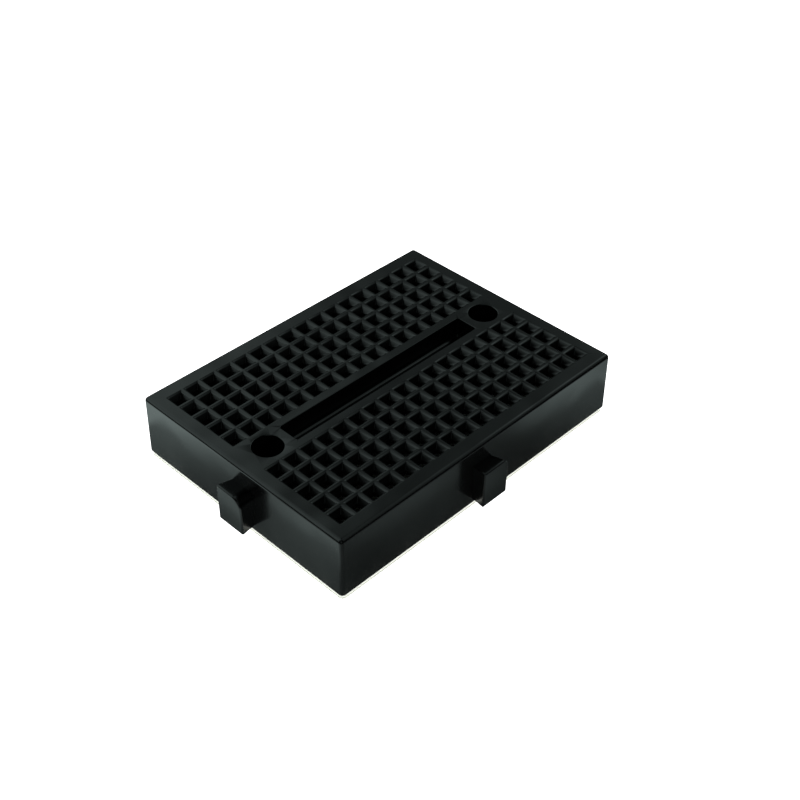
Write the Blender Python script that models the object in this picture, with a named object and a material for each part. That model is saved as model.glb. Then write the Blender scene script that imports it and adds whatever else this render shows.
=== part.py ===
"""Solderless breadboard with 170 tie points, as an assembly of separate pieces.

Units are metres, +Z is up. The origin is the middle of the board on the surface that it
lies on, so the release liner's underside is at z = 0. +X runs along the 17 columns and
+Y across them, towards the back bank.
"""
import math

import bmesh
import bpy
from mathutils import Matrix

MM = 0.001

# Grid of tie points
PITCH = 2.54 * MM
COLUMNS = 17
ROWS = 5
BANK_INNER_ROW = 3.81 * MM        # from the board's middle line to each bank's inner row

# Housing moulding
TOP_LENGTH = 46.4 * MM
TOP_WIDTH = 34.2 * MM
DRAFT = 0.18 * MM                 # how far each outer wall leans out, top to bottom
HEIGHT = 8.3 * MM
CORNER_RADIUS = 0.5 * MM
TOP_EDGE = 0.35 * MM              # bevel around the top face
DECK = 1.35 * MM                  # top plate over the clip cavities

# Tie points
FUNNEL_TOP = 1.9 * MM             # side of the square opening in the top face
FUNNEL_DEPTH = 0.7 * MM
WIRE_HOLE = 1.0 * MM              # side of the square hole under the funnel

# Clip cavities and contact clips
CAVITY_WIDTH = 1.7 * MM
CAVITY_PAST_ROW = 0.75 * MM       # cavity past the centre of its first and last hole
CLIP_GAP = 0.1 * MM               # clip to housing, at its sides, its deck and its opening
STRIP = 0.2 * MM                  # thickness of the spring metal
TROUGH = 1.8 * MM                 # height of the trough that the fingers stand on
SLIT = 0.5 * MM                   # between neighbouring fingers
PINCH_HEIGHT = 4.9 * MM           # where a pair of fingers meets
PINCH_HALF_GAP = 0.03 * MM
FLARE_HALF_GAP = 0.36 * MM        # between a pair's tips

# Centre channel, and the core pocket under it
CHANNEL = (30.8 * MM, 3.1 * MM)
CHANNEL_DEPTH = 2.8 * MM
CORE = (29.0 * MM, 2.6 * MM)
CORE_DEPTH = 4.1 * MM

# Screw holes
SCREW_SPACING = 37.1 * MM
COUNTERBORE = 3.8 * MM
COUNTERBORE_DEPTH = 3.5 * MM
SCREW_HOLE = 2.2 * MM
ROUND_SIDES = 24                  # flat sides that stand in for a round hole

# Linking tabs, and the slots that take a neighbouring board's tabs
SHORT_SIDE_LINK = -0.8 * MM       # middle of the tab on -X and of the slot on +X, in Y
LONG_SIDE_LINK = -0.45 * MM       # middle of the tab on -Y and of the slot on +Y, in X
TAB_REACH = 2.2 * MM              # from the wall's top edge to the tab's outer face
TAB_ROOT = 0.8 * MM               # how far the tab starts inside the wall
TAB_BOTTOM = 0.65 * MM            # above the housing's underside
TAB_TOP = 6.15 * MM
NECK = 3.6 * MM                   # tab's width at the wall
HEAD = 4.2 * MM                   # tab's width at its outer face
TAB_EDGE = 0.25 * MM
SLOT_GAP = 0.1 * MM

# Adhesive foam and its liner
LINER = 0.1 * MM
FOAM = 0.53 * MM
LAYER_GAP = 0.035 * MM            # left between pieces that are stuck together
PAD_INSET = 0.1 * MM              # pad's edge inside the housing's lower edge
PAD_CORNER = 0.6 * MM
CORNER_STEPS = 3                  # straight runs that stand in for a rounded corner
NOTCH_GAP = 0.1 * MM              # pad's notch around each slot

# Worked out from the sizes above
FOAM_BOTTOM = LINER + LAYER_GAP
HOUSING_BOTTOM = FOAM_BOTTOM + FOAM + LAYER_GAP
HOUSING_TOP = HOUSING_BOTTOM + HEIGHT
DECK_UNDERSIDE = HOUSING_TOP - DECK
BASE_LENGTH = TOP_LENGTH + 2 * DRAFT
BASE_WIDTH = TOP_WIDTH + 2 * DRAFT
BANK_MIDDLE = BANK_INNER_ROW + (ROWS - 1) / 2 * PITCH
CAVITY_LENGTH = (ROWS - 1) * PITCH + 2 * CAVITY_PAST_ROW
CLIP_LENGTH = CAVITY_LENGTH - 2 * CLIP_GAP
CLIP_HEIGHT = HEIGHT - DECK - 2 * CLIP_GAP
SLOT_DEPTH = TAB_REACH - DRAFT + SLOT_GAP
PAD_HALF_LENGTH = BASE_LENGTH / 2 - PAD_INSET
PAD_HALF_WIDTH = BASE_WIDTH / 2 - PAD_INSET

CLEAR = 0.5 * MM                  # how far a cutter stands past the face that it cuts


def clear_scene():
    for old in list(bpy.data.objects):
        bpy.data.objects.remove(old, do_unlink=True)


def collection(name):
    made = bpy.data.collections.new(name)
    bpy.context.scene.collection.children.link(made)
    return made


def material(name, colour, roughness, metallic=0.0):
    made = bpy.data.materials.new(name)
    made.use_nodes = True
    shader = made.node_tree.nodes["Principled BSDF"]
    shader.inputs["Base Color"].default_value = (*colour, 1.0)
    shader.inputs["Roughness"].default_value = roughness
    shader.inputs["Metallic"].default_value = metallic
    return made


def mesh_object(name, build, where):
    """A new object whose mesh is filled in by build(bm)."""
    mesh = bpy.data.meshes.new(name)
    bm = bmesh.new()
    build(bm)
    bmesh.ops.recalc_face_normals(bm, faces=bm.faces)
    bm.to_mesh(mesh)
    bm.free()
    made = bpy.data.objects.new(name, mesh)
    where.objects.link(made)
    return made


def add_box(bm, low, high):
    """A closed box between two corners."""
    made = bmesh.ops.create_cube(bm, size=1.0)["verts"]
    for v in made:
        for axis in range(3):
            v.co[axis] = high[axis] if v.co[axis] > 0 else low[axis]
    return made


def add_prism(bm, corners, along):
    """A closed prism: the flat outline through the corners, extruded by a vector."""
    face = bm.faces.new([bm.verts.new(c) for c in corners])
    raised = bmesh.ops.extrude_face_region(bm, geom=[face])["geom"]
    moved = [v for v in raised if isinstance(v, bmesh.types.BMVert)]
    bmesh.ops.translate(bm, verts=moved, vec=along)
    return moved


def add_cylinder(bm, x, y, diameter, low, high):
    made = bmesh.ops.create_cone(
        bm,
        cap_ends=True,
        segments=ROUND_SIDES,
        radius1=diameter / 2,
        radius2=diameter / 2,
        depth=high - low,
    )["verts"]
    bmesh.ops.translate(bm, verts=made, vec=(x, y, (low + high) / 2))


def boolean(target, name, cutter, operation="DIFFERENCE"):
    cutter.hide_render = True
    cutter.display_type = "WIRE"
    modifier = target.modifiers.new(name, "BOOLEAN")
    modifier.operation = operation
    modifier.object = cutter
    modifier.solver = "EXACT"


def column_x(column):
    return (column - (COLUMNS - 1) / 2) * PITCH


# Housing

def add_outer_block(bm):
    """The moulding's outer shape, a little wider at its underside than at its top."""
    corners = add_box(
        bm,
        (-BASE_LENGTH / 2, -BASE_WIDTH / 2, HOUSING_BOTTOM),
        (BASE_LENGTH / 2, BASE_WIDTH / 2, HOUSING_TOP),
    )
    for v in corners:
        if v.co.z > DECK_UNDERSIDE:
            v.co.x *= TOP_LENGTH / BASE_LENGTH
            v.co.y *= TOP_WIDTH / BASE_WIDTH
    upright = [e for e in bm.edges if (e.verts[0].co - e.verts[1].co).z != 0]
    bmesh.ops.bevel(
        bm, geom=upright, offset=CORNER_RADIUS, segments=2, profile=0.5, affect="EDGES"
    )
    rim = [e for e in bm.edges if min(v.co.z for v in e.verts) > DECK_UNDERSIDE]
    bmesh.ops.bevel(bm, geom=rim, offset=TOP_EDGE, segments=1, profile=0.5, affect="EDGES")


def add_tie_point(bm, x, y):
    """The space of one tie point: a square funnel with a square wire hole under it."""
    above = 0.2 * MM
    widening = (FUNNEL_TOP - WIRE_HOLE) / 2 / FUNNEL_DEPTH
    made = bmesh.ops.create_cone(
        bm,
        cap_ends=True,
        segments=4,
        radius1=WIRE_HOLE / math.sqrt(2),
        radius2=(FUNNEL_TOP + 2 * widening * above) / math.sqrt(2),
        depth=FUNNEL_DEPTH + above,
    )["verts"]
    square_on = Matrix.Rotation(math.radians(45), 3, "Z")
    bmesh.ops.rotate(bm, verts=made, cent=(0, 0, 0), matrix=square_on)
    middle = HOUSING_TOP + (above - FUNNEL_DEPTH) / 2
    bmesh.ops.translate(bm, verts=made, vec=(x, y, middle))
    faces = {f for v in made for f in v.link_faces}
    floor = min(faces, key=lambda f: f.calc_center_median().z)
    lowered = bmesh.ops.extrude_face_region(bm, geom=[floor])["geom"]
    for v in lowered:
        if isinstance(v, bmesh.types.BMVert):
            v.co.z = DECK_UNDERSIDE - CLEAR
    bm.faces.remove(floor)


def add_tie_points(bm):
    for column in range(COLUMNS):
        for bank in (1, -1):
            for row in range(ROWS):
                add_tie_point(bm, column_x(column), bank * (BANK_INNER_ROW + row * PITCH))


def add_underside(bm):
    """The clip cavities, and the core pocket under the channel."""
    low = HOUSING_BOTTOM - CLEAR
    for column in range(COLUMNS):
        for bank in (1, -1):
            x, y = column_x(column), bank * BANK_MIDDLE
            add_box(
                bm,
                (x - CAVITY_WIDTH / 2, y - CAVITY_LENGTH / 2, low),
                (x + CAVITY_WIDTH / 2, y + CAVITY_LENGTH / 2, DECK_UNDERSIDE),
            )
    half = [side / 2 for side in CORE]
    add_box(bm, (-half[0], -half[1], low), (*half, HOUSING_BOTTOM + CORE_DEPTH))


def add_top_recesses(bm):
    """The centre channel and the two counterbores."""
    half = [side / 2 for side in CHANNEL]
    high = HOUSING_TOP + CLEAR
    add_box(bm, (-half[0], -half[1], HOUSING_TOP - CHANNEL_DEPTH), (*half, high))
    for side in (-1, 1):
        x = side * SCREW_SPACING / 2
        add_cylinder(bm, x, 0, COUNTERBORE, HOUSING_TOP - COUNTERBORE_DEPTH, high)


def add_screw_holes(bm):
    high = HOUSING_TOP - COUNTERBORE_DEPTH + CLEAR
    for side in (-1, 1):
        x = side * SCREW_SPACING / 2
        add_cylinder(bm, x, 0, SCREW_HOLE, HOUSING_BOTTOM - CLEAR, high)


def link_outline(gap, root):
    """A tab seen from above, as (along the wall, out from the wall) points.

    gap widens it all round, for the slot. root is where it ends, on the wall's side.
    """
    half = [
        (NECK / 2 + gap, root),
        (NECK / 2 + gap, 0),
        (HEAD / 2 + gap, TAB_REACH - TAB_EDGE + gap),
        (HEAD / 2 - TAB_EDGE + gap, TAB_REACH + gap),
    ]
    return half + [(-along, out) for along, out in reversed(half)]


def add_tab(bm, place):
    low = HOUSING_BOTTOM + TAB_BOTTOM
    outline = link_outline(0, -TAB_ROOT)
    corners = [(*place(along, out), low) for along, out in outline]
    top = add_prism(bm, corners, (0, 0, TAB_TOP - TAB_BOTTOM))
    rim = [e for e in bm.edges if e.verts[0] in top and e.verts[1] in top]
    bmesh.ops.bevel(bm, geom=rim, offset=TAB_EDGE, segments=1, profile=0.5, affect="EDGES")


def add_left_tab(bm):
    add_tab(bm, lambda along, out: (-TOP_LENGTH / 2 - out, SHORT_SIDE_LINK + along))


def add_front_tab(bm):
    add_tab(bm, lambda along, out: (LONG_SIDE_LINK + along, -TOP_WIDTH / 2 - out))


def add_slots(bm):
    """Each slot is where the tab of a board that touches this one's lower edge goes."""
    low = HOUSING_BOTTOM - CLEAR
    rise = (0, 0, TAB_TOP + SLOT_GAP + CLEAR)
    outline = link_outline(SLOT_GAP, -CLEAR)
    right = BASE_LENGTH / 2 + DRAFT
    back = BASE_WIDTH / 2 + DRAFT
    on_right = [(right - out, SHORT_SIDE_LINK + along, low) for along, out in outline]
    at_back = [(LONG_SIDE_LINK + along, back - out, low) for along, out in outline]
    add_prism(bm, on_right, rise)
    add_prism(bm, at_back, rise)


def make_housing(parts, cutters):
    housing = mesh_object("housing", add_outer_block, parts)
    steps = (
        ("left_tab", add_left_tab, "UNION"),
        ("front_tab", add_front_tab, "UNION"),
        ("underside", add_underside, "DIFFERENCE"),
        ("slots", add_slots, "DIFFERENCE"),
        ("top_recesses", add_top_recesses, "DIFFERENCE"),
        ("screw_holes", add_screw_holes, "DIFFERENCE"),
        ("tie_points", add_tie_points, "DIFFERENCE"),
    )
    for name, build, operation in steps:
        boolean(housing, name, mesh_object(name + "_cutter", build, cutters), operation)
    housing.data.materials.append(material("black_plastic", (0.012, 0.013, 0.013), 0.4))


# Contact clips

def clip_outline():
    """The bent strip seen along the column, as (x, z) points from the clip's floor."""
    side = CAVITY_WIDTH / 2 - CLIP_GAP
    outer = [
        (side, 0),
        (side, TROUGH),
        (PINCH_HALF_GAP + STRIP, PINCH_HEIGHT),
        (FLARE_HALF_GAP + STRIP, CLIP_HEIGHT),
    ]
    inner = [
        (FLARE_HALF_GAP, CLIP_HEIGHT),
        (PINCH_HALF_GAP, PINCH_HEIGHT),
        (side - STRIP, TROUGH),
        (side - STRIP, STRIP),
    ]
    half = outer + inner
    return half + [(-x, z) for x, z in reversed(half)]


def add_strip(bm):
    corners = [(x, -CLIP_LENGTH / 2, z) for x, z in clip_outline()]
    add_prism(bm, corners, (0, CLIP_LENGTH, 0))


def add_slits(bm):
    for between in range(ROWS - 1):
        y = (between - (ROWS - 2) / 2) * PITCH
        add_box(
            bm,
            (-CAVITY_WIDTH, y - SLIT / 2, TROUGH),
            (CAVITY_WIDTH, y + SLIT / 2, CLIP_HEIGHT + CLEAR),
        )


def clip_mesh(cutters):
    """One clip's mesh, slit into its fingers, for every clip to share."""
    strip = mesh_object("strip", add_strip, cutters)
    slits = mesh_object("slits_cutter", add_slits, cutters)
    boolean(strip, "slits", slits)
    depsgraph = bpy.context.evaluated_depsgraph_get()
    made = bpy.data.meshes.new_from_object(strip.evaluated_get(depsgraph))
    made.name = "contact_clip"
    for helper in (strip, slits):
        bpy.data.objects.remove(helper, do_unlink=True)
    return made


def make_clips(parts, cutters):
    shared = clip_mesh(cutters)
    shared.materials.append(material("spring_metal", (0.62, 0.6, 0.55), 0.3, 1.0))
    for letter, bank in (("a", 1), ("b", -1)):
        for column in range(COLUMNS):
            clip = bpy.data.objects.new(f"contact_clip_{letter}{column + 1:02d}", shared)
            clip.location = (column_x(column), bank * BANK_MIDDLE, HOUSING_BOTTOM + CLIP_GAP)
            parts.objects.link(clip)


# Adhesive pad

def pad_outline():
    """The pad's (x, y) outline: rounded corners, and a notch at each linking slot."""
    notch_half = HEAD / 2 + SLOT_GAP + NOTCH_GAP
    notch_x = BASE_LENGTH / 2 - SLOT_DEPTH - NOTCH_GAP
    notch_y = BASE_WIDTH / 2 - SLOT_DEPTH - NOTCH_GAP
    near, far = SHORT_SIDE_LINK - notch_half, SHORT_SIDE_LINK + notch_half
    left, right = LONG_SIDE_LINK - notch_half, LONG_SIDE_LINK + notch_half
    x, y = PAD_HALF_LENGTH, PAD_HALF_WIDTH

    def corner(x_side, y_side, start):
        centre = (x_side * (x - PAD_CORNER), y_side * (y - PAD_CORNER))
        turns = [
            math.radians(start + 90 * step / CORNER_STEPS) for step in range(CORNER_STEPS + 1)
        ]
        return [
            (centre[0] + PAD_CORNER * math.cos(t), centre[1] + PAD_CORNER * math.sin(t))
            for t in turns
        ]

    return (
        corner(1, -1, -90)
        + [(x, near), (notch_x, near), (notch_x, far), (x, far)]
        + corner(1, 1, 0)
        + [(right, y), (right, notch_y), (left, notch_y), (left, y)]
        + corner(-1, 1, 90)
        + corner(-1, -1, 180)
    )


def make_pad_layer(name, origin, bottom, thickness, parts):
    """A layer of the pad. origin is the object's own, in the board's frame."""
    def build(bm):
        corners = [(x - origin[0], y - origin[1], bottom - origin[2]) for x, y in pad_outline()]
        add_prism(bm, corners, (0, 0, thickness))

    layer = mesh_object(name, build, parts)
    layer.location = origin
    return layer


def make_pad(parts):
    foam = make_pad_layer("foam_pad", (0, 0, 0), FOAM_BOTTOM, FOAM, parts)
    foam.data.materials.append(material("white_foam", (0.8, 0.8, 0.76), 0.9))
    peel_line = (-PAD_HALF_LENGTH, 0, LINER)
    liner = make_pad_layer("release_liner", peel_line, 0, LINER, parts)
    liner.data.materials.append(material("waxed_paper", (0.82, 0.84, 0.68), 0.5))


def main():
    clear_scene()
    parts = collection("solderless_breadboard")
    cutters = collection("cutters")
    make_housing(parts, cutters)
    make_clips(parts, cutters)
    make_pad(parts)


main()
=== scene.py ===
"""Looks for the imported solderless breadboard.

Every place comes from the frame's boxes and every size is a named value in metres. The
housing, the clips, the foam pad and the liner are each rebuilt in finer detail inside the
space that their CAD solids hold.
"""
import math

import bmesh
import bpy
import numpy as np
from mathutils import Matrix, Vector, noise
from mathutils.geometry import delaunay_2d_cdt


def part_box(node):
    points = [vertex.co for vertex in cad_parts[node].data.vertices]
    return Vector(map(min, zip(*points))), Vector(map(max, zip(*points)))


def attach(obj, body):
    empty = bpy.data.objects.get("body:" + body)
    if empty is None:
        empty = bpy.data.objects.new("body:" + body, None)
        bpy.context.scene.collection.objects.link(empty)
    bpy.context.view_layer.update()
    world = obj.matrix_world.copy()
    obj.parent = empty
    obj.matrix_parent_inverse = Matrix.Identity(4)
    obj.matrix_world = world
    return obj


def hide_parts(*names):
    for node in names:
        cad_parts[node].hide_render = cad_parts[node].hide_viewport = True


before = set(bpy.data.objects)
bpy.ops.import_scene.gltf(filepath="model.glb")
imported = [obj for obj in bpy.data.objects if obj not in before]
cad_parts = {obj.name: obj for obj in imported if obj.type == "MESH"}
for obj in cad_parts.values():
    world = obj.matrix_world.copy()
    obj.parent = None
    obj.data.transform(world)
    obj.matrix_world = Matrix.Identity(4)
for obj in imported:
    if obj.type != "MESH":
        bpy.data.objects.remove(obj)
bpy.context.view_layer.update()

MM = 0.001

# Read from the frame
HOUSING_LOW, HOUSING_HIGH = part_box("housing")
FOAM_LOW, FOAM_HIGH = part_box("foam_pad")
LINER_LOW, LINER_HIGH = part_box("release_liner")
FIRST_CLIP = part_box("contact_clip_a01")
LAST_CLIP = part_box("contact_clip_a17")
COLUMNS = 17
ROWS = 5
TOP = HOUSING_HIGH[2]
UNDERSIDE = HOUSING_LOW[2]
FIRST_COLUMN = (FIRST_CLIP[0][0] + FIRST_CLIP[1][0]) / 2
LAST_COLUMN = (LAST_CLIP[0][0] + LAST_CLIP[1][0]) / 2
PITCH = (LAST_COLUMN - FIRST_COLUMN) / (COLUMNS - 1)
BANK_MIDDLE = (FIRST_CLIP[0][1] + FIRST_CLIP[1][1]) / 2

# Housing
DRAFT = 0.1 * MM                    # how far each wall leans out, top to bottom
HALF_X = HOUSING_HIGH[0] - DRAFT    # of the top face, before its edge is rounded
HALF_Y = HOUSING_HIGH[1] - DRAFT
CORNER_RADIUS = 0.5 * MM
LEAST_CORNER = 0.12 * MM            # where the rounded top edge narrows a corner
TOP_EDGE = 0.5 * MM
CLIP_GAP = 0.1 * MM
DECK_UNDERSIDE = FIRST_CLIP[1][2] + CLIP_GAP
CAVITY_HALF_X = (FIRST_CLIP[1][0] - FIRST_CLIP[0][0]) / 2 + CLIP_GAP
CAVITY_HALF_Y = (FIRST_CLIP[1][1] - FIRST_CLIP[0][1]) / 2 + CLIP_GAP

FUNNEL_TOP = 2.0 * MM
FUNNEL_DEPTH = 0.8 * MM
WIRE_HOLE = 1.0 * MM
FUNNEL_RIM = 0.34 * MM              # edge radii: at the top face, and at the neck
FUNNEL_EDGE = 0.07 * MM
FUNNEL_CORNER = 0.11                # corner radius as a share of a ring's half width

CHANNEL = (30.8 * MM, 3.1 * MM)
CHANNEL_DEPTH = 2.8 * MM
CHANNEL_CORNER = 0.3 * MM
CHANNEL_LEAST_CORNER = 0.05 * MM
CHANNEL_RIM = 0.1 * MM
CHANNEL_FLOOR_EDGE = 0.5 * MM
CORE = (29.0 * MM, 2.6 * MM)
CORE_DEPTH = 4.1 * MM

SCREW_SPACING = 37.1 * MM
COUNTERBORE = 3.8 * MM
COUNTERBORE_DEPTH = 3.5 * MM
COUNTERBORE_RIM = 0.12 * MM
SCREW_HOLE = 2.2 * MM
ROUND_STEPS = 64

SHORT_SIDE_LINK = -0.8 * MM
LONG_SIDE_LINK = -0.45 * MM
TAB_REACH = -HOUSING_LOW[0] - HALF_X
TAB_BOTTOM = 0.65 * MM
TAB_TOP = 6.15 * MM                 # the most that a slot has to take
TAB_TOP_AT_WALL = 5.7 * MM          # a tab's top face rises outwards
TAB_TOP_AT_END = 5.95 * MM
NECK = 3.6 * MM
HEAD = 4.2 * MM
TAB_EDGE = 0.25 * MM
TAB_FOOT = 0.12 * MM
TAB_LEAST_EDGE = 0.04 * MM
LEFT_SHOULDER = 1.5 * MM            # each tab has one well rounded top corner
FRONT_SHOULDER = 1.0 * MM
SLOT_GAP = 0.1 * MM

# Contact clips
STRIP = 0.2 * MM                    # thickness of the spring metal
TROUGH = 1.8 * MM
PINCH_HEIGHT = 4.9 * MM             # where a pair of fingers meets
PINCH_HALF_GAP = 0.03 * MM
FLARE_HALF_GAP = 0.36 * MM          # between a pair's tips
SLIT = 0.5 * MM                     # between neighbouring fingers
TIP_CORNER = 0.35 * MM
TROUGH_BEND = 0.25 * MM             # bend radii, at the middle of the strip
SHOULDER_BEND = 0.6 * MM
PINCH_BEND = 0.5 * MM

# Foam pad and liner
PAD_CORNER = 0.6 * MM
NOTCH_GAP = 0.1 * MM
CELL = 0.16 * MM                    # of the foam
CELL_REACH = 0.5                    # of a cell's opening, as a share of CELL
PORE = 0.035 * MM                   # how deep the cells open in the foam's cut edge
CUT_LEVELS = (0.1, 0.26, 0.42, 0.58, 0.74, 0.9)    # rings up the cut edge, as shares
EDGE_STEP = 0.1 * MM                # between points round the foam's edge
HINGE_GAP = 0.02 * MM               # keeps the foam off the liner as it swings right round
LINER_EDGE = 0.015 * MM

ARC_STEPS = 6
WELD = 0.0001 * MM
WHOLE_HULL = 0                      # delaunay_2d_cdt returns every triangle it makes
SAME_PLACE = 1e-7                   # and merges points this close, in millimetres
FACE_STRENGTH = "__mod_weightednormals_faceweight"    # the layer that the modifier reads
STRONG = 16383
ALL_BY_AREA = 100                   # the modifier's weight for the largest faces


# Outlines and profiles

def arc(centre, radius, start, end, steps):
    """Points on an arc, angles in degrees."""
    turns = [math.radians(start + (end - start) * s / steps) for s in range(steps + 1)]
    return [
        (centre[0] + radius * math.cos(t), centre[1] + radius * math.sin(t)) for t in turns
    ]


def rounded_box(centre, half, radii, steps=ARC_STEPS):
    """A rectangle with rounded corners. radii go +x+y, -x+y, -x-y, +x-y."""
    sides = ((1, 1, 0), (-1, 1, 90), (-1, -1, 180), (1, -1, 270))
    points = []
    for (sx, sy, start), radius in zip(sides, radii):
        middle = (
            centre[0] + sx * (half[0] - radius),
            centre[1] + sy * (half[1] - radius),
        )
        points += arc(middle, radius, start, start + 90, steps)
    return points


def rectangle(centre, half):
    return [
        (centre[0] + sx * half[0], centre[1] + sy * half[1])
        for sx, sy in ((1, 1), (-1, 1), (-1, -1), (1, -1))
    ]


def rounded_bend(before, corner, after, radius, steps):
    """The arc that replaces a corner of a profile and is tangent to both its legs."""
    before, corner, after = (Vector(p) for p in (before, corner, after))
    towards_before = (before - corner).normalized()
    towards_after = (after - corner).normalized()
    half_angle = towards_before.angle(towards_after) / 2
    first = towards_before * (radius / math.tan(half_angle))
    middle = (towards_before + towards_after).normalized() * (radius / math.sin(half_angle))
    last = towards_after * (radius / math.tan(half_angle))
    a, b = first - middle, last - middle
    sweep = a.angle(b)
    points = []
    for step in range(steps + 1):
        share = step / steps
        spoke = (a * math.sin((1 - share) * sweep) + b * math.sin(share * sweep)) / math.sin(sweep)
        points.append(tuple(corner + middle + spoke))
    return points


# Mesh making

class Shell:
    """Collects faces and welds them into one closed mesh. Flats keep their own normals."""

    def __init__(self):
        self.faces = []
        self.flats = []

    def loft(self, rings, closed=True):
        """Quads between neighbouring rings, which have the same number of points."""
        for above, below in zip(rings, rings[1:]):
            count = len(above)
            for i in range(count if closed else count - 1):
                j = (i + 1) % count
                self.faces.append((above[i], above[j], below[j], below[i]))

    def plate(self, outline, holes, place):
        """The flat area inside the outline and outside the holes. place makes (u, v) 3-D."""
        points, triangles = fill([outline, *holes])
        placed = [place(u, v) for u, v in points]
        for triangle in triangles:
            self.flats.append(tuple(placed[i] for i in triangle))

    def bent_sheet(self, outline, folds, place):
        """A sheet cut to the outline. place(u, v, side) makes it 3-D, side being 1 or -1."""
        points, triangles = fill([outline], folds)
        upper, lower = ([place(u, v, side) for u, v in points] for side in (1, -1))
        used = set()
        for a, b, c in triangles:
            self.faces.append((upper[a], upper[b], upper[c]))
            self.faces.append((lower[c], lower[b], lower[a]))
            used.update(((a, b), (b, c), (c, a)))
        for a, b in used:
            if (b, a) not in used:
                self.faces.append((upper[b], upper[a], lower[a], lower[b]))

    def build(self, name):
        bm = bmesh.new()
        strength = bm.faces.layers.int.new(FACE_STRENGTH)
        for corners in self.faces:
            bm.faces.new([bm.verts.new(c) for c in corners])
        for corners in self.flats:
            bm.faces.new([bm.verts.new(c) for c in corners])[strength] = STRONG
        bmesh.ops.remove_doubles(bm, verts=bm.verts, dist=WELD)
        bmesh.ops.recalc_face_normals(bm, faces=bm.faces)
        open_edges = sum(1 for e in bm.edges if len(e.link_faces) != 2)
        if open_edges:
            print(f"{name} has {open_edges} edges that aren't shared by two faces")
        return object_from(bm, name)


def object_from(bm, name):
    mesh = bpy.data.meshes.new(name)
    bm.to_mesh(mesh)
    bm.free()
    made = bpy.data.objects.new(name, mesh)
    bpy.context.scene.collection.objects.link(made)
    return made


def fill(loops, folds=()):
    """Triangles between the loops, as (points, corners). None of them crosses a fold."""
    points = [Vector(p) / MM for loop in loops for p in loop]
    edges, first = [], 0
    for loop in loops:
        edges += [(first + i, first + (i + 1) % len(loop)) for i in range(len(loop))]
        first += len(loop)
    outline = np.array([tuple(p) for p in points])
    ends = [Vector(p) / MM for fold in folds for p in fold]
    creases = [(first + i, first + i + 1) for i in range(0, len(ends), 2)]
    made, _, triangles, *_ = delaunay_2d_cdt(
        points + ends, edges + creases, [], WHOLE_HULL, SAME_PLACE
    )
    places = np.array([tuple(p) for p in made])
    corners = np.array([tuple(t) for t in triangles])
    kept = inside(places[corners].mean(axis=1), outline, edges)
    return places * MM, corners[kept].tolist()


def inside(places, points, edges):
    """Which places have an odd number of the edges to their right."""
    edges = np.array(edges)
    a, b = points[edges[:, 0]], points[edges[:, 1]]
    x, y = places[:, 0:1], places[:, 1:2]
    spans = (a[:, 1] > y) != (b[:, 1] > y)
    rise = np.where(b[:, 1] == a[:, 1], 1.0, b[:, 1] - a[:, 1])
    crossing = a[:, 0] + (y - a[:, 1]) / rise * (b[:, 0] - a[:, 0])
    return (spans & (x < crossing)).sum(axis=1) % 2 == 1


def at_height(z):
    return lambda x, y: (x, y, z)


def smooth(made, sharp_degrees):
    """Smooth shading that keeps flats flat, and keeps edges above the angle sharp."""
    mesh = made.data
    mesh.shade_smooth()
    mesh.set_sharp_from_angle(angle=math.radians(sharp_degrees))
    weighted = made.modifiers.new("weighted_normals", "WEIGHTED_NORMAL")
    weighted.mode = "FACE_AREA"
    weighted.weight = ALL_BY_AREA
    weighted.keep_sharp = True
    weighted.use_face_influence = True


# Housing

def lean(z):
    """How far a wall stands out at height z, from the line of the top face."""
    return DRAFT * (TOP - z) / (TOP - UNDERSIDE)


def outer_ring(inset, z):
    radius = max(CORNER_RADIUS - inset, LEAST_CORNER)
    half = (HALF_X + lean(z) - inset, HALF_Y + lean(z) - inset)
    return [(x, y, z) for x, y in rounded_box((0, 0), half, [radius] * 4)]


def tie_point_profile():
    """(half width, z) down a tie point, from its rounded rim to the deck's underside."""
    open_half, hole_half = FUNNEL_TOP / 2, WIRE_HOLE / 2
    neck = TOP - FUNNEL_DEPTH
    outside, rim = (PITCH / 2, TOP), (open_half, TOP)
    throat, end = (hole_half, neck), (hole_half, DECK_UNDERSIDE)
    return [
        *rounded_bend(outside, rim, throat, FUNNEL_RIM, steps=4),
        *rounded_bend(rim, throat, end, FUNNEL_EDGE, steps=2),
        end,
    ]


def tie_point_rings(x, y):
    rings = []
    for half, z in tie_point_profile():
        square = rounded_box((x, y), (half, half), [half * FUNNEL_CORNER] * 4, steps=2)
        rings.append([(u, v, z) for u, v in square])
    return rings


def column_x(column):
    return FIRST_COLUMN + column * PITCH


def row_y(bank, row):
    return bank * BANK_MIDDLE + (row - (ROWS - 1) / 2) * PITCH


def flat(ring):
    return [(x, y) for x, y, _ in ring]


def add_channel(shell):
    """Returns the channel's rim in the top face."""
    floor = TOP - CHANNEL_DEPTH
    rim = rounded_bend((-1, TOP), (0, TOP), (0, floor), CHANNEL_RIM, steps=3)
    foot = rounded_bend((0, TOP), (0, floor), (1, floor), CHANNEL_FLOOR_EDGE, steps=5)
    rings = []
    for inset, z in rim + foot:
        half = (CHANNEL[0] / 2 - inset, CHANNEL[1] / 2 - inset)
        radius = max(CHANNEL_CORNER - inset, CHANNEL_LEAST_CORNER)
        rings.append([(x, y, z) for x, y in rounded_box((0, 0), half, [radius] * 4)])
    shell.loft(rings)
    shell.plate(flat(rings[-1]), [], at_height(floor))
    return flat(rings[0])


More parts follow.
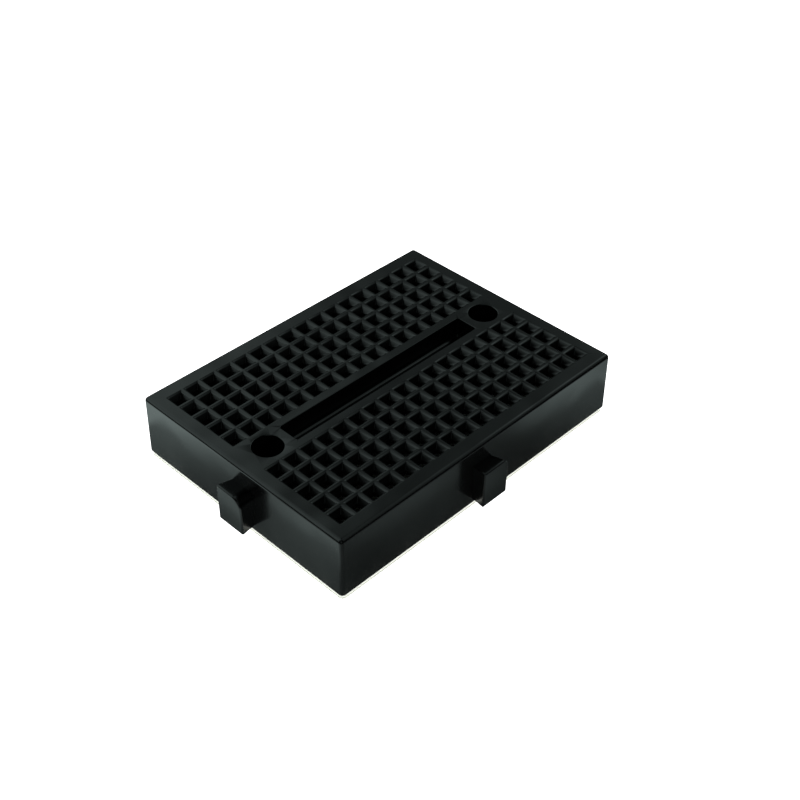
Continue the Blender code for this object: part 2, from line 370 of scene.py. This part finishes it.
def add_screw_place(shell, x):
    """A counterbore and its screw hole. Returns their rims in the top and the underside."""
    seat = TOP - COUNTERBORE_DEPTH
    outer, inner = COUNTERBORE / 2, SCREW_HOLE / 2
    outside, rim, foot = (outer + MM, TOP), (outer, TOP), (outer, seat)
    mouth, end = (inner, seat), (inner, UNDERSIDE)
    profile = [
        *rounded_bend(outside, rim, foot, COUNTERBORE_RIM, steps=4),
        *rounded_bend(rim, foot, mouth, COUNTERBORE_RIM, steps=3),
        *rounded_bend(foot, mouth, end, FUNNEL_EDGE, steps=2),
        end,
    ]
    rings = [
        [(u, v, z) for u, v in arc((x, 0), radius, 0, 360, ROUND_STEPS)[:-1]]
        for radius, z in profile
    ]
    shell.loft(rings)
    return flat(rings[0]), flat(rings[-1])


def add_cavity(shell, column, bank):
    """A clip's cavity and five tie points. Returns its mouth and the tie points' rims."""
    x = column_x(column)
    mouth = rectangle((x, bank * BANK_MIDDLE), (CAVITY_HALF_X, CAVITY_HALF_Y))
    shell.loft([[(u, v, z) for u, v in mouth] for z in (UNDERSIDE, DECK_UNDERSIDE)])
    holes, rims = [], []
    for row in range(ROWS):
        rings = tie_point_rings(x, row_y(bank, row))
        shell.loft(rings)
        rims.append(flat(rings[0]))
        holes.append(flat(rings[-1]))
    shell.plate(mouth, holes, at_height(DECK_UNDERSIDE))
    return mouth, rims


def add_core(shell):
    """The pocket under the channel. Returns its mouth."""
    mouth = rectangle((0, 0), (CORE[0] / 2, CORE[1] / 2))
    roof = UNDERSIDE + CORE_DEPTH
    shell.loft([[(u, v, z) for u, v in mouth] for z in (UNDERSIDE, roof)])
    shell.plate(mouth, [], at_height(roof))
    return mouth


class Wall:
    """One side of the housing, in its own (along, out, z), to place things on it. axis is
    0 where the side faces X and 1 where it faces Y.
    """

    def __init__(self, half, axis, sign, end_half):
        self.half = half
        self.axis = axis
        self.sign = sign
        self.end_half = end_half

    def place(self, along, out, z):
        """out is measured from the line of the top face."""
        reach = self.sign * (self.half + out)
        return (reach, along, z) if self.axis == 0 else (along, reach, z)

    def on_face(self, along, z):
        return self.place(along, lean(z), z)

    def panel(self, shell, top, notch, holes):
        """The flat panel between the rounded corners."""
        high, low = (self.end_half + lean(z) - CORNER_RADIUS for z in (top, UNDERSIDE))
        outline = [(-high, top), (high, top), (low, UNDERSIDE), *notch, (-low, UNDERSIDE)]
        shell.plate(outline, holes, self.on_face)


LEFT = Wall(HALF_X, axis=0, sign=-1, end_half=HALF_Y)
RIGHT = Wall(HALF_X, axis=0, sign=1, end_half=HALF_Y)
FRONT = Wall(HALF_Y, axis=1, sign=-1, end_half=HALF_X)
BACK = Wall(HALF_Y, axis=1, sign=1, end_half=HALF_X)


def tab_section(middle, out, inset, shoulders):
    """A tab's (along, z) outline at that reach. Its bottom corners are nearly sharp."""
    half = (NECK + (HEAD - NECK) * min(out / TAB_REACH, 1)) / 2 - inset
    rise = (TAB_TOP_AT_END - TAB_TOP_AT_WALL) * out / TAB_REACH
    low, high = UNDERSIDE + TAB_BOTTOM + inset, UNDERSIDE + TAB_TOP_AT_WALL + rise - inset
    corners = (*shoulders, TAB_FOOT, TAB_FOOT)
    radii = [max(radius - inset, TAB_LEAST_EDGE) for radius in corners]
    centre = (middle, (low + high) / 2)
    return rounded_box(centre, (half, (high - low) / 2), radii)


def add_tab(shell, wall, middle, shoulders):
    """A linking tab. shoulders are its top corners' radii: at + along, then at - along.
    Returns the outline of its root.
    """
    root = tab_section(middle, 0, 0, shoulders)
    rings = [[wall.on_face(along, z) for along, z in root]]
    end = rounded_bend((0, 0), (0, TAB_REACH), (1, TAB_REACH), TAB_EDGE, steps=5)
    for inset, out in end:
        section = tab_section(middle, out, inset, shoulders)
        rings.append([wall.place(along, out, z) for along, z in section])
    shell.loft(rings)
    shell.plate(section, [], lambda along, z: wall.place(along, TAB_REACH, z))
    return root


def slot_plan(middle, z):
    """The (along, out) outline of a slot at height z, out being towards the wall's face."""
    deepest = DRAFT - (TAB_REACH + SLOT_GAP)
    bend = deepest + TAB_EDGE
    mouth = lean(z)
    slope = (HEAD - NECK) / 2 / (TAB_REACH - TAB_EDGE + SLOT_GAP)
    mouth_half = NECK / 2 + SLOT_GAP + slope * (2 * DRAFT - mouth)
    half = HEAD / 2 + SLOT_GAP
    side = [(mouth_half, mouth), (half, bend), (half - TAB_EDGE, deepest)]
    one_side = [(middle - along, out) for along, out in side]
    other_side = [(middle + along, out) for along, out in reversed(side)]
    return one_side + other_side


def add_slot(shell, wall, middle):
    """A linking slot. Returns its plan at the underside, and its outline in the wall."""
    roof = UNDERSIDE + TAB_TOP + SLOT_GAP
    low, high = (slot_plan(middle, z) for z in (UNDERSIDE, roof))
    foot = [wall.place(along, out, UNDERSIDE) for along, out in low]
    shell.loft([foot, [wall.place(along, out, roof) for along, out in high]], closed=False)
    shell.plate(high, [], lambda along, out: wall.place(along, out, roof))
    notch = [
        (low[-1][0], UNDERSIDE),
        (high[-1][0], roof),
        (high[0][0], roof),
        (low[0][0], UNDERSIDE),
    ]
    return flat(foot), notch


def make_housing():
    shell = Shell()
    channel = add_channel(shell)
    screw_rims, screw_holes = zip(
        *(add_screw_place(shell, side * SCREW_SPACING / 2) for side in (-1, 1))
    )
    mouths, rims = [], []
    for column in range(COLUMNS):
        for bank in (-1, 1):
            mouth, five = add_cavity(shell, column, bank)
            mouths.append(mouth)
            rims += five
    core = add_core(shell)
    left_root = add_tab(shell, LEFT, SHORT_SIDE_LINK, (TAB_EDGE, LEFT_SHOULDER))
    front_root = add_tab(shell, FRONT, LONG_SIDE_LINK, (FRONT_SHOULDER, TAB_EDGE / 2))
    right_plan, right_notch = add_slot(shell, RIGHT, SHORT_SIDE_LINK)
    back_plan, back_notch = add_slot(shell, BACK, LONG_SIDE_LINK)

    edge = rounded_bend((1, TOP), (0, TOP), (0, UNDERSIDE), TOP_EDGE, steps=8)
    rings = [outer_ring(inset, z) for inset, z in edge]
    shell.loft(rings)
    shell.plate(flat(rings[0]), [channel, *screw_rims, *rims], at_height(TOP))

    bottom = outer_ring(0, UNDERSIDE)
    around = len(bottom) // 4
    for corner in range(4):
        run = slice(corner * around, (corner + 1) * around)
        shell.loft([rings[-1][run], bottom[run]], closed=False)
    top = rings[-1][0][2]
    LEFT.panel(shell, top, [], [left_root])
    FRONT.panel(shell, top, [], [front_root])
    RIGHT.panel(shell, top, right_notch, [])
    BACK.panel(shell, top, back_notch, [])

    # The underside's outline goes round from the +x+y corner, with a slot in +y and in +x
    footprint = flat(bottom)
    outline = [*footprint[:around], *reversed(back_plan), *footprint[around:], *right_plan]
    shell.plate(outline, [*mouths, core, *screw_holes], at_height(UNDERSIDE))
    housing = shell.build("housing_moulding")
    smooth(housing, sharp_degrees=40)
    return housing


# Contact clips

def strip_path():
    """The strip's middle line, from tip to tip: (point, direction across it) pairs."""
    low, high = FIRST_CLIP
    side = (high[0] - low[0]) / 2 - STRIP / 2
    floor, tip = STRIP / 2, high[2] - low[2]
    pinch, flare = (half_gap + STRIP / 2 for half_gap in (PINCH_HALF_GAP, FLARE_HALF_GAP))
    half = [(side, floor), (side, TROUGH), (pinch, PINCH_HEIGHT), (flare, tip)]
    corners = [Vector((-x, z)) for x, z in reversed(half)] + [Vector(p) for p in half]
    radii = [PINCH_BEND, SHOULDER_BEND, TROUGH_BEND, TROUGH_BEND, SHOULDER_BEND, PINCH_BEND]
    legs = [(b - a).normalized() for a, b in zip(corners, corners[1:])]
    path = [(corners[0], legs[0])]
    for i, radius in enumerate(radii):
        steps = ARC_STEPS if radius == TROUGH_BEND else ARC_STEPS // 2
        bend = rounded_bend(*corners[i:i + 3], radius, steps)
        path += [
            (Vector(point), legs[i].slerp(legs[i + 1], step / steps))
            for step, point in enumerate(bend)
        ]
    path.append((corners[-1], legs[-1]))
    return [(point, Vector((-along.y, along.x))) for point, along in path]


def comb(end, way, finger):
    """One end of the flat strip: five fingers, parted by round-ended slits. way is the
    direction from the end into the strip, 1 or -1.
    """
    half = (FIRST_CLIP[1][1] - FIRST_CLIP[0][1]) / 2
    level = end + way * TIP_CORNER
    root = end + way * (finger - SLIT / 2)
    points = []
    for row in range(ROWS):
        middle = (row - (ROWS - 1) / 2) * PITCH
        left = -half if row == 0 else middle - (PITCH - SLIT) / 2
        right = half if row == ROWS - 1 else middle + (PITCH - SLIT) / 2
        for x, start, stop in ((left + TIP_CORNER, 180, 90), (right - TIP_CORNER, 90, 0)):
            corner = arc((x, 0), TIP_CORNER, start, stop, steps=4)
            points += [(u, level - way * v) for u, v in corner]
        if row < ROWS - 1:
            slit_end = arc((right + SLIT / 2, 0), SLIT / 2, 180, 0, steps=6)
            points += [(u, root + way * v) for u, v in slit_end]
    return points


def clip_blank(total, finger):
    """The flat strip's outline, with fingers at both ends."""
    return comb(0, 1, finger) + comb(total, -1, finger)[::-1]


def clip_mesh():
    """One clip's mesh, around its own middle and floor, for every clip to share."""
    path = strip_path()
    runs = [0]
    for (a, _), (b, _) in zip(path, path[1:]):
        runs.append(runs[-1] + (b - a).length)
    finger = next(run for (point, _), run in zip(path, runs) if point.y <= TROUGH)
    outline = clip_blank(runs[-1], finger)
    reach = FIRST_CLIP[1][1] - FIRST_CLIP[0][1]
    folds = [((-reach, run), (reach, run)) for run in runs[1:-1]]

    def coordinate(axis, run, side):
        values = [point[axis] + across[axis] * side * STRIP / 2 for point, across in path]
        return np.interp(run, runs, values)

    def place(along, run, side):
        return (coordinate(0, run, side), along, coordinate(1, run, side))

    shell = Shell()
    shell.bent_sheet(outline, folds, place)
    strip = shell.build("clip_strip")
    smooth(strip, sharp_degrees=50)
    return strip


def make_clips():
    first = clip_mesh()
    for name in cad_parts:
        if not name.startswith("contact_clip"):
            continue
        clip = first.copy()
        clip.name = name.replace("contact_clip", "clip_strip")
        bpy.context.scene.collection.objects.link(clip)
        low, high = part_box(name)
        clip.location = ((low[0] + high[0]) / 2, (low[1] + high[1]) / 2, low[2])
        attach(clip, "board")
        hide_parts(name)
    first.data.materials.append(spring_metal())
    bpy.data.objects.remove(first)


# Foam pad and liner

def pad_outline():
    """The outline of both layers, with a notch at each linking slot."""
    x, y = FOAM_HIGH[0], FOAM_HIGH[1]
    half = HEAD / 2 + SLOT_GAP + NOTCH_GAP
    depth = TAB_REACH - DRAFT + SLOT_GAP + NOTCH_GAP
    notch_x, notch_y = HOUSING_HIGH[0] - depth, HOUSING_HIGH[1] - depth
    near, far = SHORT_SIDE_LINK - half, SHORT_SIDE_LINK + half
    left, right = LONG_SIDE_LINK - half, LONG_SIDE_LINK + half
    right_notch = [(x, near), (notch_x, near), (notch_x, far), (x, far)]
    back_notch = [(right, y), (right, notch_y), (left, notch_y), (left, y)]
    corners = rounded_box((0, 0), (x, y), [PAD_CORNER] * 4)
    first = ARC_STEPS + 1
    return [*right_notch, *corners[:first], *back_notch, *corners[first:]]


def resample(ring, step):
    """The same ring with a point at least every step."""
    points = []
    for a, b in zip(ring, ring[1:] + ring[:1]):
        a, b = Vector(a), Vector(b)
        count = max(1, math.ceil((b - a).length / step))
        points += [tuple(a.lerp(b, i / count)) for i in range(count)]
    return points


def inward(ring):
    """At each point of an anticlockwise ring, the direction into it."""
    around = np.array(ring)
    along = np.roll(around, -1, axis=0) - np.roll(around, 1, axis=0)
    along /= np.linalg.norm(along, axis=1)[:, None]
    return np.stack((-along[:, 1], along[:, 0]), axis=1)


def pore_depth(x, y, z):
    """How far a cell that the knife opened goes in at that point of the cut edge."""
    nearest = noise.voronoi(Vector((x, y, z)) / CELL)[0][0]
    return PORE * max(0, 1 - (nearest / CELL_REACH) ** 2)


def make_foam_pad():
    low, high = FOAM_LOW[2], FOAM_HIGH[2]
    ring = resample(pad_outline(), EDGE_STEP)
    into = inward(ring)

    def edge(z, depth_at):
        depths = [HINGE_GAP + depth_at(x, y, z) for x, y in ring]
        return [(x + u * d, y + v * d, z) for (x, y), (u, v), d in zip(ring, into, depths)]

    bottom, top = (edge(z, lambda *place: 0) for z in (low, high))
    cut = [edge(low + (high - low) * share, pore_depth) for share in CUT_LEVELS]
    shell = Shell()
    shell.loft([bottom, *cut, top])
    shell.plate(flat(bottom), [], at_height(low))
    shell.plate(flat(top), [], at_height(high))
    pad = shell.build("foam_layer")
    smooth(pad, sharp_degrees=40)
    pad.data.materials.append(white_foam())
    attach(pad, "board")
    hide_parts("foam_pad")


def make_liner():
    low, high = LINER_LOW[2], LINER_HIGH[2]
    ring = pad_outline()
    into = inward(ring)
    edge = [
        (LINER_EDGE, low),
        (0, low + LINER_EDGE),
        (0, high - LINER_EDGE),
        (LINER_EDGE, high),
    ]
    rings = [
        [(x + u * inset, y + v * inset, z) for (x, y), (u, v) in zip(ring, into)]
        for inset, z in edge
    ]
    shell = Shell()
    shell.loft(rings)
    shell.plate(flat(rings[0]), [], at_height(low))
    shell.plate(flat(rings[-1]), [], at_height(high))
    liner = shell.build("liner_paper")
    smooth(liner, sharp_degrees=60)
    liner.data.materials.append(waxed_paper())
    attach(liner, "liner")
    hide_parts("release_liner")


# Materials. A pair of colours or of roughness values gives the ends between which a
# texture moves it, and a texture's scale counts its features in a metre

PLASTIC_COLOURS = (0.0011, 0.0012, 0.0012), (0.0018, 0.0019, 0.0019)
PLASTIC_ROUGHNESS = 0.16, 0.22
PLASTIC_IOR = 1.5
CLOUD_SCALE = 160
SINK_SCALE = 130
SINK_STRENGTH, SINK_DEPTH = 1.0, 0.3 * MM
GRAIN_SCALE = 9000
GRAIN_STRENGTH, GRAIN_DEPTH = 0.06, 0.02 * MM

FOAM_COLOURS = (0.86, 0.88, 0.78), (0.93, 0.94, 0.88)
FOAM_ROUGHNESS = 0.8
FOAM_CELL_SCALE = 6500
FOAM_CELL_STRENGTH, FOAM_CELL_DEPTH = 0.4, 0.04 * MM

PAPER_COLOURS = (0.78, 0.82, 0.62), (0.88, 0.9, 0.74)
PAPER_ROUGHNESS = 0.4, 0.55
FIBRE_SCALE = 1800
FIBRE_STRENGTH, FIBRE_DEPTH = 0.15, 0.02 * MM

METAL_COLOURS = (0.62, 0.6, 0.55), (0.78, 0.76, 0.7)
METAL_ROUGHNESS = 0.22, 0.4
WEAR_SCALE = 700


def new_material(name):
    """A material, its shader, and its nodes and links."""
    made = bpy.data.materials.new(name)
    made.use_nodes = True
    nodes = made.node_tree.nodes
    return made, nodes["Principled BSDF"], nodes, made.node_tree.links


def add_noise(nodes, links, scale, detail, distortion=0.0):
    place = nodes.new("ShaderNodeTexCoord")
    texture = nodes.new("ShaderNodeTexNoise")
    texture.inputs["Scale"].default_value = scale
    texture.inputs["Detail"].default_value = detail
    texture.inputs["Distortion"].default_value = distortion
    links.new(place.outputs["Object"], texture.inputs["Vector"])
    return texture.outputs["Fac"]


def ramp_value(nodes, links, source, low, high, start=0.3, end=0.7):
    """Goes from low to high as the source, a noise, goes from start to end."""
    ramp = nodes.new("ShaderNodeMapRange")
    ramp.inputs["From Min"].default_value = start
    ramp.inputs["From Max"].default_value = end
    ramp.inputs["To Min"].default_value = low
    ramp.inputs["To Max"].default_value = high
    links.new(source, ramp.inputs["Value"])
    return ramp.outputs["Result"]


def mix_colour(nodes, links, factor, first, second):
    mix = nodes.new("ShaderNodeMix")
    mix.data_type = "RGBA"
    mix.inputs["A"].default_value = (*first, 1)
    mix.inputs["B"].default_value = (*second, 1)
    links.new(factor, mix.inputs["Factor"])
    return mix.outputs["Result"]


def add_bump(nodes, links, height, strength, distance, under=None):
    """A relief from height, on top of the relief whose normals are under."""
    bump = nodes.new("ShaderNodeBump")
    if under:
        links.new(under, bump.inputs["Normal"])
    bump.inputs["Strength"].default_value = strength
    bump.inputs["Distance"].default_value = distance
    links.new(height, bump.inputs["Height"])
    return bump.outputs["Normal"]


def black_plastic():
    """Satin plastic: cloudy gloss, shallow sink marks and a fine grain."""
    made, shader, nodes, links = new_material("black_plastic_moulded")
    cloud = add_noise(nodes, links, CLOUD_SCALE, detail=3)
    sink = add_noise(nodes, links, SINK_SCALE, detail=1)
    grain = add_noise(nodes, links, GRAIN_SCALE, detail=2)
    colour = mix_colour(nodes, links, cloud, *PLASTIC_COLOURS)
    roughness = ramp_value(nodes, links, cloud, *PLASTIC_ROUGHNESS)
    waves = add_bump(nodes, links, sink, SINK_STRENGTH, SINK_DEPTH)
    relief = add_bump(nodes, links, grain, GRAIN_STRENGTH, GRAIN_DEPTH, waves)
    links.new(colour, shader.inputs["Base Color"])
    links.new(roughness, shader.inputs["Roughness"])
    links.new(relief, shader.inputs["Normal"])
    shader.inputs["IOR"].default_value = PLASTIC_IOR
    return made


def white_foam():
    """Foam with its cells in colour and relief."""
    made, shader, nodes, links = new_material("white_foam_cells")
    cells = nodes.new("ShaderNodeTexVoronoi")
    cells.inputs["Scale"].default_value = FOAM_CELL_SCALE
    place = nodes.new("ShaderNodeTexCoord")
    links.new(place.outputs["Object"], cells.inputs["Vector"])
    distance = cells.outputs["Distance"]
    colour = mix_colour(nodes, links, distance, *FOAM_COLOURS)
    relief = add_bump(nodes, links, distance, FOAM_CELL_STRENGTH, FOAM_CELL_DEPTH)
    links.new(colour, shader.inputs["Base Color"])
    links.new(relief, shader.inputs["Normal"])
    shader.inputs["Roughness"].default_value = FOAM_ROUGHNESS
    return made


def waxed_paper():
    """Paper whose fibres show in colour, gloss and relief."""
    made, shader, nodes, links = new_material("waxed_paper_fibres")
    fibres = add_noise(nodes, links, FIBRE_SCALE, detail=4, distortion=1.5)
    colour = mix_colour(nodes, links, fibres, *PAPER_COLOURS)
    roughness = ramp_value(nodes, links, fibres, *PAPER_ROUGHNESS)
    relief = add_bump(nodes, links, fibres, FIBRE_STRENGTH, FIBRE_DEPTH)
    links.new(colour, shader.inputs["Base Color"])
    links.new(roughness, shader.inputs["Roughness"])
    links.new(relief, shader.inputs["Normal"])
    return made


def spring_metal():
    """Bare strip, unevenly worn."""
    made, shader, nodes, links = new_material("spring_metal_strip")
    wear = add_noise(nodes, links, WEAR_SCALE, detail=4)
    colour = mix_colour(nodes, links, wear, *METAL_COLOURS)
    roughness = ramp_value(nodes, links, wear, *METAL_ROUGHNESS)
    links.new(colour, shader.inputs["Base Color"])
    links.new(roughness, shader.inputs["Roughness"])
    shader.inputs["Metallic"].default_value = 1.0
    return made


# Stage. The camera sees a white floor and backdrop, which give no light to the gloss. Gloss
# sees a dark dome with softboxes, and the sheet below the board, which glows with painted
# pools of light and a painted shadow of the board

FLOOR_RADIUS = 3.0
FLOOR_HEIGHT = -0.005 * MM
FLOOR_COLOUR = (0.2, 0.2, 0.2)
FLOOR_GLOW = 2.0
BACKDROP_RADIUS = 2.9
BACKDROP_GLOW = 1.0
SHEET_RADIUS = 70 * MM
SHEET_HEIGHT = 0.002 * MM
SHEET_COLOUR = (0.45, 0.45, 0.45)
WHITE = (1, 1, 1)
BLACK = (0, 0, 0)

# Each softbox of the studio: azimuth from +X towards +Y and elevation in degrees, the
# half angle where it is full, the half angle where it ends, and its brightness
SOFTBOXES = (
    (122, 29, 6, 33, 0.82),
    (144, 22, 4, 18, 0.25),
    (76, 38, 5, 26, 0.78),
    (5, 35, 4, 25, 0.7),
    (36, 35, 4, 20, 0.18),
    (120, 70, 5, 32, 0.45),
    (-5, 57, 4, 26, 0.3),
    (-50, 40, 4, 24, 0.25),
    (-135, 30, 5, 28, 0.3),
)
STUDIO_TINT = (0.82, 1.0, 0.97)

# Each painted pool of light, glowing on the sheet: x, y, radius and brightness
PAINTED_LIGHT_POOLS = (
    (-37 * MM, 22 * MM, 26 * MM, 1.45),
    (-31 * MM, -8 * MM, 20 * MM, 0.75),
    (-6 * MM, -26 * MM, 20 * MM, 0.23),
    (25 * MM, -26 * MM, 18 * MM, 0.75),
    (44 * MM, 14 * MM, 28 * MM, 0.4),
    (0, 40 * MM, 32 * MM, 0.5),
)

# A painted shadow of the board: the sheet's painted glow is dimmed close to the board's foot
PAINTED_SHADOW_START = 3.8 * MM
PAINTED_SHADOW_END = 5.8 * MM
PAINTED_SHADOW_LEAST = 0.35


def soft_patch(nodes, links, place, measure, centre, edge, full, strength):
    """A patch that rises smoothly to its strength from where measure is edge to full."""
    gauge = nodes.new("ShaderNodeVectorMath")
    gauge.operation = measure
    gauge.inputs[1].default_value = centre
    links.new(place, gauge.inputs[0])
    patch = nodes.new("ShaderNodeMapRange")
    patch.interpolation_type = "SMOOTHSTEP"
    patch.inputs["From Min"].default_value = edge
    patch.inputs["From Max"].default_value = full
    patch.inputs["To Max"].default_value = strength
    links.new(gauge.outputs["Value"], patch.inputs["Value"])
    return patch.outputs["Result"]


def sum_of(nodes, links, values):
    total = values[0]
    for value in values[1:]:
        add = nodes.new("ShaderNodeMath")
        links.new(total, add.inputs[0])
        links.new(value, add.inputs[1])
        total = add.outputs["Value"]
    return total


def add_dome(world):
    """The studio's light by direction: soft patches on a dark dome."""
    nodes, links = world.node_tree.nodes, world.node_tree.links
    background = nodes["Background"]
    place = nodes.new("ShaderNodeTexCoord").outputs["Generated"]
    patches = []
    for azimuth, elevation, inner, outer, strength in SOFTBOXES:
        a, e = math.radians(azimuth), math.radians(elevation)
        towards = (math.cos(a) * math.cos(e), math.sin(a) * math.cos(e), math.sin(e))
        edge, full = math.cos(math.radians(outer)), math.cos(math.radians(inner))
        patches.append(
            soft_patch(nodes, links, place, "DOT_PRODUCT", towards, edge, full, strength)
        )
    background.inputs["Color"].default_value = (*STUDIO_TINT, 1)
    links.new(sum_of(nodes, links, patches), background.inputs["Strength"])


def painted_contact_shadow(nodes, links, place):
    """The painted shadow: the share of the sheet's painted glow that is kept, by its distance from
    the board.
    """
    split = nodes.new("ShaderNodeSeparateXYZ")
    links.new(place, split.inputs["Vector"])
    farther = nodes.new("ShaderNodeMath")
    farther.operation = "MAXIMUM"
    for i, (axis, half) in enumerate((("X", HALF_X), ("Y", HALF_Y))):
        size = nodes.new("ShaderNodeMath")
        size.operation = "ABSOLUTE"
        links.new(split.outputs[axis], size.inputs[0])
        gap = nodes.new("ShaderNodeMath")
        gap.operation = "SUBTRACT"
        gap.inputs[1].default_value = half
        links.new(size.outputs["Value"], gap.inputs[0])
        links.new(gap.outputs["Value"], farther.inputs[i])
    shade = nodes.new("ShaderNodeMapRange")
    shade.interpolation_type = "SMOOTHSTEP"
    shade.inputs["From Min"].default_value = PAINTED_SHADOW_START
    shade.inputs["From Max"].default_value = PAINTED_SHADOW_END
    shade.inputs["To Min"].default_value = PAINTED_SHADOW_LEAST
    links.new(farther.outputs["Value"], shade.inputs["Value"])
    return shade.outputs["Result"]


# The sheet glows with painted pools of light, dimmed by a painted shadow near the board
def add_painted_light_pools(nodes, links, shader):
    place = nodes.new("ShaderNodeTexCoord").outputs["Object"]
    pools = [
        soft_patch(nodes, links, place, "DISTANCE", (x, y, 0), radius, 0, strength)
        for x, y, radius, strength in PAINTED_LIGHT_POOLS
    ]
    shaded = nodes.new("ShaderNodeMath")
    shaded.operation = "MULTIPLY"
    links.new(sum_of(nodes, links, pools), shaded.inputs[0])
    # the painted shadow of the board dims the painted pools near its foot
    links.new(painted_contact_shadow(nodes, links, place), shaded.inputs[1])
    shader.inputs["Emission Color"].default_value = (*STUDIO_TINT, 1)
    links.new(shaded.outputs["Value"], shader.inputs["Emission Strength"])


def disc(name, radius, z):
    bm = bmesh.new()
    bmesh.ops.create_circle(bm, cap_ends=True, segments=96, radius=radius)
    bmesh.ops.translate(bm, verts=bm.verts, vec=(0, 0, z))
    return object_from(bm, name)


def dome(name, radius):
    bm = bmesh.new()
    bmesh.ops.create_uvsphere(bm, u_segments=48, v_segments=24, radius=radius)
    return object_from(bm, name)


def seen_by(made, *kinds):
    for kind in ("camera", "diffuse", "glossy", "transmission", "volume_scatter", "shadow"):
        setattr(made, f"visible_{kind}", kind in kinds)


def matt(name, colour, glow=0.0):
    """A matt material that gives off white light of its own. Returned as new_material does."""
    made = new_material(name)
    shader = made[1]
    shader.inputs["Base Color"].default_value = (*colour, 1)
    shader.inputs["Roughness"].default_value = 1.0
    shader.inputs["Specular IOR Level"].default_value = 0.0
    shader.inputs["Emission Color"].default_value = (*WHITE, 1)
    shader.inputs["Emission Strength"].default_value = glow
    return made


def make_stage():
    floor = disc("floor", FLOOR_RADIUS, FLOOR_HEIGHT)
    floor.data.materials.append(matt("floor_paper", FLOOR_COLOUR, FLOOR_GLOW)[0])
    seen_by(floor, "camera", "diffuse", "transmission")

    backdrop = dome("backdrop", BACKDROP_RADIUS)
    backdrop.data.materials.append(matt("backdrop_paper", BLACK, BACKDROP_GLOW)[0])
    seen_by(backdrop, "camera")

    # Only gloss sees this sheet, which glows with painted pools of light and a painted shadow of
    # the board
    sheet = disc("floor_sheet_painted_light", SHEET_RADIUS, SHEET_HEIGHT)
    paper, shader, nodes, links = matt("sheet_paper_painted_light", SHEET_COLOUR)
    add_painted_light_pools(nodes, links, shader)
    sheet.data.materials.append(paper)
    seen_by(sheet, "glossy")


# Camera. It stands where the photograph was taken from. Angles are in degrees, the azimuth
# from -Y towards +X

LENS = 58.96
SENSOR = 36
CLIP_START = 1 * MM
AZIMUTH = -46.01
ELEVATION = 39.46
ROLL = 0.751
TARGET = Vector((5.376, 2.106, 0.7)) * MM
DISTANCE = 169.96 * MM


def make_camera():
    azimuth, elevation, roll = (math.radians(d) for d in (AZIMUTH, ELEVATION, ROLL))
    back = Vector(
        (
            math.sin(azimuth) * math.cos(elevation),
            -math.cos(azimuth) * math.cos(elevation),
            math.sin(elevation),
        )
    )
    right = Vector((math.cos(azimuth), math.sin(azimuth), 0))
    up = back.cross(right)
    across = math.cos(roll) * right + math.sin(roll) * up
    upward = -math.sin(roll) * right + math.cos(roll) * up
    data = bpy.data.cameras.new("camera")
    data.lens = LENS
    data.sensor_width = SENSOR
    data.clip_start = CLIP_START
    camera = bpy.data.objects.new("camera", data)
    turn = Matrix((across, upward, back)).transposed()
    camera.matrix_world = Matrix.Translation(TARGET + back * DISTANCE) @ turn.to_4x4()
    bpy.context.scene.collection.objects.link(camera)
    bpy.context.scene.camera = camera


def main():
    bpy.context.scene.view_settings.view_transform = "Standard"
    world = bpy.data.worlds.new("studio")
    world.use_nodes = True
    bpy.context.scene.world = world
    add_dome(world)
    make_stage()
    make_camera()

    housing = make_housing()
    housing.data.materials.append(black_plastic())
    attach(housing, "board")
    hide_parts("housing")

    make_clips()
    make_foam_pad()
    make_liner()


main()
